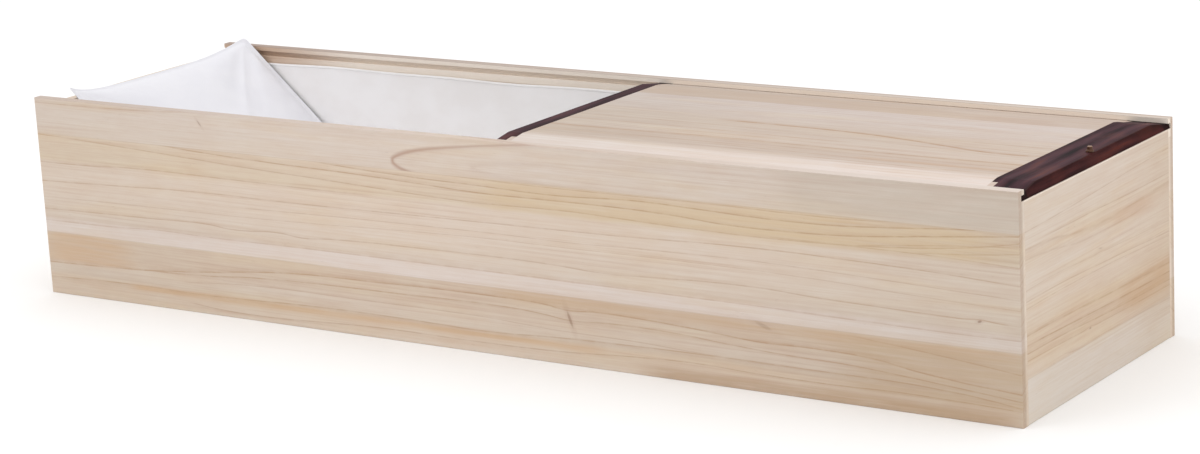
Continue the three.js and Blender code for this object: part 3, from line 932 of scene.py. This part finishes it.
def makeLining():
    bpy.ops.object.select_all(action="DESELECT")
    bpy.ops.mesh.primitive_cube_add(size=2)
    piece = bpy.context.object
    piece.name = "lining_sheet"
    high = (lining["hem"] - lining["floor"]) / 2
    piece.scale = (lining["halfX"], lining["halfY"], high)
    piece.location = (0, 0, lining["floor"] + high)
    bpy.ops.object.transform_apply(location=True, rotation=True, scale=True)
    bpy.ops.object.mode_set(mode="EDIT")
    mesh = bmesh.from_edit_mesh(piece.data)
    for face in mesh.faces:
        face.select = face.normal.z > 0.5
    bmesh.update_edit_mesh(piece.data)
    bpy.ops.mesh.delete(type="FACE")
    mesh = bmesh.from_edit_mesh(piece.data)
    for edge in mesh.edges:
        edge.select = not edge.is_boundary
    bmesh.update_edit_mesh(piece.data)
    bpy.ops.mesh.bevel(offset=lining["corner"], segments=4, affect="EDGES")
    # rows across its length, across its width and up the walls
    for axis, rows in enumerate(lining["rows"]):
        first = (-lining["halfX"], -lining["halfY"], lining["floor"])[axis] + lining["margin"]
        last = (lining["halfX"], lining["halfY"], lining["hem"])[axis] - lining["margin"]
        for step in range(rows + 1):
            place = first + (last - first) * step / rows
            bpy.ops.mesh.select_all(action="SELECT")
            bpy.ops.mesh.bisect(plane_co=[place if k == axis else 0 for k in range(3)],
                                plane_no=[1 if k == axis else 0 for k in range(3)])
    bpy.ops.mesh.select_all(action="SELECT")
    bpy.ops.mesh.normals_make_consistent(inside=True)
    bpy.ops.object.mode_set(mode="OBJECT")
    for vertex in piece.data.vertices:
        x, y, z = vertex.co
        height = z - lining["floor"]
        if abs(y) > lining["halfY"] - lining["corner"] / 2:
            side = 1 if y > 0 else -1
            vertex.co.y -= side * liningFold(side, x, height)
        if abs(x) > lining["halfX"] - lining["corner"] / 2:
            side = 1 if x > 0 else -1
            vertex.co.x -= side * liningFold(side, y * 1.3, height)
        if z > lining["hem"] - 0.004:
            vertex.co.z += 0.0012 * math.sin(x * 9.0 + y * 5) + 0.0008 * math.sin(x * 23.0 - 1)
    # turn the hem over to the inside
    bpy.ops.object.mode_set(mode="EDIT")
    bpy.ops.mesh.select_all(action="DESELECT")
    mesh = bmesh.from_edit_mesh(piece.data)
    for edge in mesh.edges:
        edge.select = edge.is_boundary
    bmesh.update_edit_mesh(piece.data)
    for drop, inward in lining["hemTurn"]:
        bpy.ops.mesh.extrude_edges_move()
        mesh = bmesh.from_edit_mesh(piece.data)
        for vertex in mesh.verts:
            if vertex.select:
                x, y, z = vertex.co
                vertex.co.z = z + drop
                if abs(y) > lining["halfY"] - lining["reach"]:
                    vertex.co.y -= math.copysign(inward, y)
                if abs(x) > lining["halfX"] - lining["reach"]:
                    vertex.co.x -= math.copysign(inward, x)
        bmesh.update_edit_mesh(piece.data)
    bpy.ops.object.mode_set(mode="OBJECT")
    wall = piece.modifiers.new("cloth", "SOLIDIFY")
    wall.thickness = lining["thickness"]
    wall.offset = 0
    smooth = piece.modifiers.new("soften", "SUBSURF")
    smooth.levels = smooth.render_levels = 1
    bpy.ops.object.modifier_apply(modifier="cloth")
    bpy.ops.object.modifier_apply(modifier="soften")
    bpy.ops.object.shade_smooth()
    piece.data.materials.append(clothMaterial("lining cloth", lining))
    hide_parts("lining")
    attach(piece, "casket")


makeLining()
print("lining done")


# pillow: blown up from two flat layers, then leaned on the head end
pillow = {
    "length": 0.505,  # along its slope
    "span": 0.4854,
    "thickness": 0.100,
    "lean": 40,
    "headX": -0.9347,  # middle of its upper edge
    "floorTop": 0.0183,
    "floorGap": 0.0005,
    "edge": 0.010,
    "pull": 0.007,  # how far the sides draw in between the corners
    "curl": 0.034,  # how far its two sides turn up against the walls
    "lift": 0.005,  # how far its upper edge rides up
    "seam": 0.007,  # width of the sewn edge
    "seamThickness": 0.0016,
    "startCrown": 0.036,
    "curlPower": 4,  # the higher, the nearer to its sides it turns up
    "footPower": 8,  # the higher, the nearer to its foot the curl ends
    "fullness": 6,  # how squarely the filling reaches out to the sewn edge
    "cells": 78,
    "frames": 20,
    "pressure": 2.0,
    "tone": (234, 233, 238), "shade": (230, 229, 235), "gap": (212, 211, 217),
    "pitch": 0.9, "roughness": 0.92, "sheen": 0.3,
}


def blowUp(piece):
    blow = piece.modifiers.new("Cloth", "CLOTH")
    cloth = blow.settings
    cloth.quality = 6
    cloth.mass = 0.25
    cloth.tension_stiffness = cloth.compression_stiffness = 18
    cloth.shear_stiffness = 6
    cloth.bending_stiffness = 0.3
    cloth.vertex_group_shrink = "rim"
    cloth.shrink_min = -0.003  # a little spare cloth, so that it creases
    cloth.shrink_max = 0
    cloth.vertex_group_mass = "rim"
    cloth.pin_stiffness = 1
    cloth.use_pressure = True
    cloth.uniform_pressure_force = pillow["pressure"]
    cloth.effector_weights.gravity = 0
    blow.collision_settings.use_collision = False
    blow.point_cache.frame_end = pillow["frames"]
    scene = bpy.context.scene
    for step in range(1, pillow["frames"] + 1):
        scene.frame_set(step)
    bpy.ops.object.modifier_apply(modifier="Cloth")
    scene.frame_set(1)


def leanPillow(piece):
    # turns its sides up against the walls, leans it on the head end and presses it on the floor
    lean = math.radians(pillow["lean"])
    halfRun, halfSpan = pillow["length"] / 2, pillow["span"] / 2
    rise = halfRun * math.sin(lean) + pillow["edge"] / 2 + pillow["floorGap"]
    x0 = pillow["headX"] + (halfRun - pillow["pull"]) * math.cos(lean)
    for vertex in piece.data.vertices:
        x, y, z = vertex.co
        a, b = x / halfRun, y / halfSpan
        towardsFoot = min(1, max(0, (a + 1) / 2))
        z += pillow["curl"] * (1 - towardsFoot ** pillow["footPower"]) * b ** pillow["curlPower"]
        z += pillow["lift"] * max(0, -a)
        across = x * math.cos(lean) + z * math.sin(lean)
        up = z * math.cos(lean) - x * math.sin(lean)
        vertex.co = (x0 + across, y, pillow["floorTop"] + max(up + rise, pillow["floorGap"]))


def makePillow():
    bpy.ops.object.select_all(action="DESELECT")
    bpy.ops.mesh.primitive_grid_add(x_subdivisions=pillow["cells"], y_subdivisions=pillow["cells"], size=1)
    piece = bpy.context.object
    piece.name = "pillow_cover"
    wide, thin = pillow["seam"], pillow["seamThickness"]
    piece.scale = (pillow["length"] - 2 * wide, pillow["span"] - 2 * wide, 1)
    bpy.ops.object.transform_apply(location=True, rotation=True, scale=True)
    bpy.ops.object.mode_set(mode="EDIT")
    bpy.ops.mesh.select_all(action="SELECT")
    bpy.ops.mesh.extrude_region_move(TRANSFORM_OT_translate={"value": (0, 0, thin)})
    bpy.ops.mesh.select_all(action="SELECT")
    bpy.ops.mesh.normals_make_consistent(inside=False)
    bpy.ops.object.mode_set(mode="OBJECT")
    halfX = pillow["length"] / 2 - wide
    halfY = pillow["span"] / 2 - wide
    rim = piece.vertex_groups.new(name="rim")
    for vertex in piece.data.vertices:  # a little crown to start from
        a, b = vertex.co.x / halfX, vertex.co.y / halfY
        full = pillow["fullness"]
        crown = math.sqrt(max(0, (1 - abs(a) ** full) * (1 - abs(b) ** full)))
        side = 1 if vertex.co.z > thin / 2 else -1
        vertex.co.z = side * (thin / 2 + pillow["startCrown"] * crown)
        if max(abs(a), abs(b)) > 0.999:
            rim.add([vertex.index], 1, "REPLACE")
    blowUp(piece)
    points = [vertex.co for vertex in piece.data.vertices]
    reach = [max(abs(p[k]) for p in points) for k in range(3)]
    print("pillow blown up to", [round(2 * v, 4) for v in reach])
    fit = (halfX / reach[0], halfY / reach[1], pillow["thickness"] / 2 / reach[2])
    for vertex in piece.data.vertices:
        vertex.co = [v * s for v, s in zip(vertex.co, fit)]
    # the sewn edge stands out flat all round
    bpy.ops.object.mode_set(mode="EDIT")
    bpy.ops.mesh.select_mode(type="FACE")
    bpy.ops.mesh.select_all(action="DESELECT")
    mesh = bmesh.from_edit_mesh(piece.data)
    for face in mesh.faces:
        middle = face.calc_center_median()
        onRim = abs(middle.x) > halfX - 0.001 or abs(middle.y) > halfY - 0.001
        face.select_set(onRim and abs(face.normal.z) < 0.7)
    bmesh.update_edit_mesh(piece.data)
    for step in range(2):
        bpy.ops.mesh.extrude_region_shrink_fatten(
            TRANSFORM_OT_shrink_fatten={"value": wide / 2, "use_even_offset": True})
    bpy.ops.object.mode_set(mode="OBJECT")
    smooth = piece.modifiers.new("soften", "SUBSURF")
    smooth.levels = smooth.render_levels = 1
    bpy.ops.object.modifier_apply(modifier="soften")
    leanPillow(piece)
    bpy.ops.object.shade_smooth()
    piece.data.materials.append(clothMaterial("pillow cloth", pillow))
    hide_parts("pillow")
    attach(piece, "casket")


makePillow()
print("pillow done")


# floor and light
studio = {
    "floor": tone(252, 252, 252),
    "floorRoughness": 0.9,
    "sky": [  # brightness of the room by height, from its walls to the soft ceiling
        (0.0, 0.25), (0.3, 0.5), (0.6, 1.15), (1.0, 1.3),
    ],
    "lights": [  # name, place, aim, size, power
        ("key", (-2.4, -4.0, 3.2), (-0.5, 0, 0.15), 3.0, 34),
        ("fill", (5.0, 0.6, 2.2), (0.9, 0, 0.15), 2.5, 16),
    ],
}


def makeFloor():
    bpy.ops.object.select_all(action="DESELECT")
    bpy.ops.mesh.primitive_plane_add(size=160)
    ground = bpy.context.object
    ground.name = "studio_floor"
    material, tree, shader = newMaterial("studio floor", studio["floorRoughness"])
    shader.inputs["Base Color"].default_value = studio["floor"]
    shader.inputs["Specular IOR Level"].default_value = 0.0
    ground.data.materials.append(material)


def makeLight():
    world = bpy.data.worlds.new("studio")
    bpy.context.scene.world = world
    world.use_nodes = True
    room = world.node_tree
    way = room.nodes.new("ShaderNodeTexCoord")
    split = room.nodes.new("ShaderNodeSeparateXYZ")
    room.links.new(way.outputs["Generated"], split.inputs["Vector"])
    top = max(glow for height, glow in studio["sky"])
    glow = toneRamp(room, split.outputs["Z"], [
        (height, (glow / top, glow / top, glow / top, 1)) for height, glow in studio["sky"]])
    room.links.new(glow, room.nodes["Background"].inputs["Color"])
    room.nodes["Background"].inputs["Strength"].default_value = top
    bpy.context.scene.view_settings.view_transform = "Standard"
    for name, place, aim, size, power in studio["lights"]:
        data = bpy.data.lights.new(name, "AREA")
        data.size = size
        data.energy = power
        light = bpy.data.objects.new(name, data)
        bpy.context.collection.objects.link(light)
        light.location = place
        light.rotation_euler = (Vector(aim) - Vector(place)).to_track_quat("-Z", "Y").to_euler()


makeFloor()
makeLight()
print("studio done")
